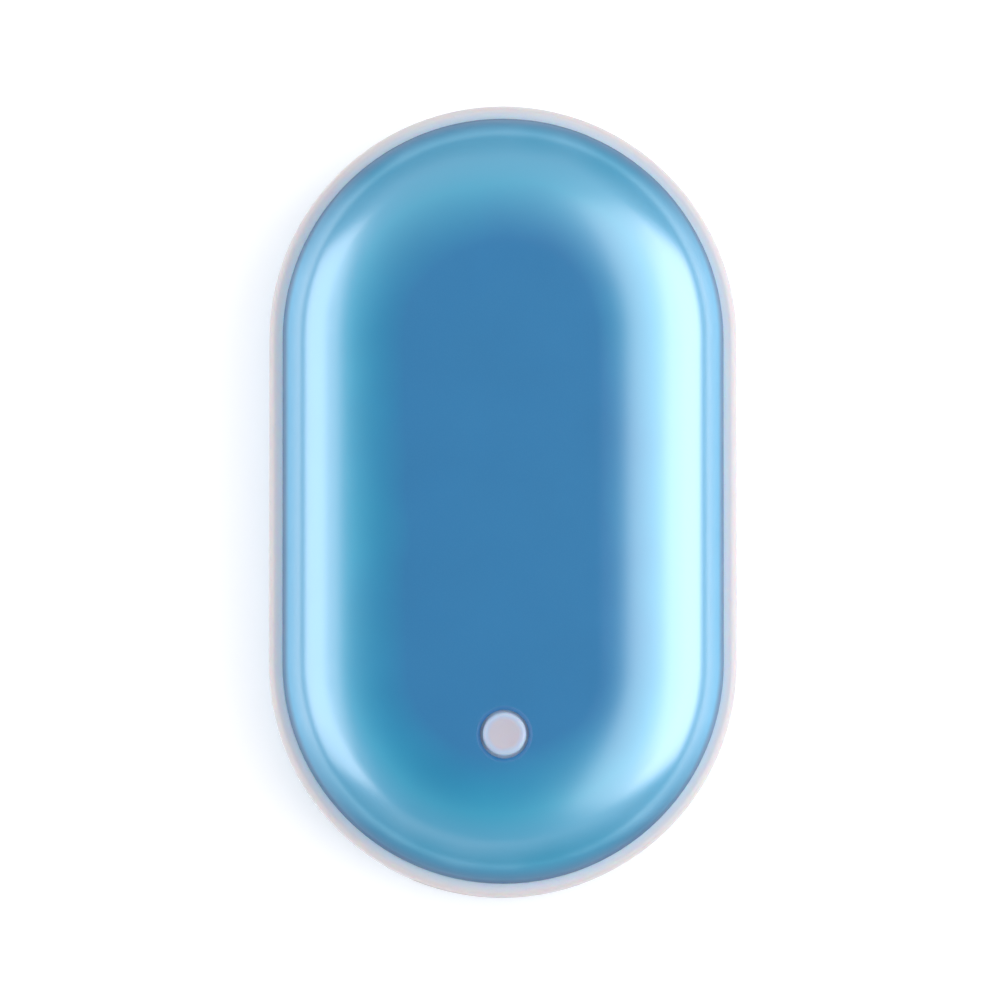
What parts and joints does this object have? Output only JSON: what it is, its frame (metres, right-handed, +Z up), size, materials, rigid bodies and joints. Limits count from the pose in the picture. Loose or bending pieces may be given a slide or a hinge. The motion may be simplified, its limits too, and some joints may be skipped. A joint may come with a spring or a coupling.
{
  "type": "rechargeable hand warmer",
  "caption": "Palm-size rechargeable hand warmer with domed blue metal shells on a pale plastic band, a push button, heating films, a battery and USB sockets.",
  "frame": {"origin": "on the surface that the part lies on, under the middle of the back shell", "axes": "+X across the part, +Y along it away from the button and the sockets, +Z up out of the front shell"},
  "size_m": [0.0574, 0.097, 0.028],
  "materials": {
    "blue_lacquer": "satin metallic lacquer",
    "pale_frame": "milky, slightly translucent, fine satin",
    "pale_button": "milky, slightly translucent, soft gloss",
    "heater_film": "amber polyimide film",
    "felt": "pressed insulating felt",
    "cell_foil": "pouch foil, dull silver",
    "white_tape": "tape",
    "grey_foam": "closed-cell foam",
    "nickel": "nickel strip",
    "board_green": "solder mask",
    "black_plastic": "moulded",
    "tin_plate": "tin-plated sheet",
    "gold_contact": "gold flash",
    "red_wire": "soft insulation",
    "black_wire": "soft insulation",
    "white_wire": "soft insulation",
    "ferrite": "matt ferrite",
    "chip_ceramic": "sintered, satin",
    "light_resin": "clear resin over phosphor",
    "bead_epoxy": "dipped epoxy",
    "screw_steel": "zinc plated"
  },
  "bodies": {
    "casing": {"front_shell": "blue_lacquer", "back_shell": "blue_lacquer", "front_frame": "pale_frame", "back_frame": "pale_frame", "frame_screws": "screw_steel", "switch_base": "black_plastic", "switch_dome": "nickel", "switch_cover": "tin_plate", "switch_legs": "tin_plate", "status_lights": "light_resin", "front_heater": "heater_film", "back_heater": "heater_film", "front_insulator": "felt", "back_insulator": "felt", "front_heater_leads": "white_wire", "back_heater_leads": "white_wire", "thermistor": "bead_epoxy", "thermistor_leads": "nickel", "battery_cell": "cell_foil", "battery_tape": "white_tape", "battery_foam": "grey_foam", "battery_tabs": "nickel", "battery_board": "board_green", "battery_lead_positive": "red_wire", "battery_lead_negative": "black_wire", "main_board": "board_green", "controller_chip": "black_plastic", "power_inductor": "ferrite", "board_capacitors": "chip_ceramic", "board_resistors": "black_plastic", "heater_transistors": "black_plastic", "usb_a_shell": "tin_plate", "usb_a_tongue": "black_plastic", "usb_a_contacts": "gold_contact", "micro_usb_shell": "tin_plate", "micro_usb_tongue": "black_plastic", "micro_usb_contacts": "gold_contact"},
    "button": {"button_cap": "pale_button"},
    "plunger": {"switch_plunger": "black_plastic"}
  },
  "joints": [
    {"name": "button_press", "type": "slide", "parent": "casing", "child": "button", "axis": [0, 0, -1], "range_m": [0, 0.0003], "stiffness_N_per_m": 2500, "springref_m": -0.0002},
    {"name": "plunger_press", "type": "slide", "parent": "casing", "child": "plunger", "axis": [0, 0, -1], "range_m": [0, 0.0003], "deforming": ["switch_dome"]}
  ],
  "couplings": [
    {"joint": "plunger_press", "follows": "button_press", "ratio": 1}
  ]
}
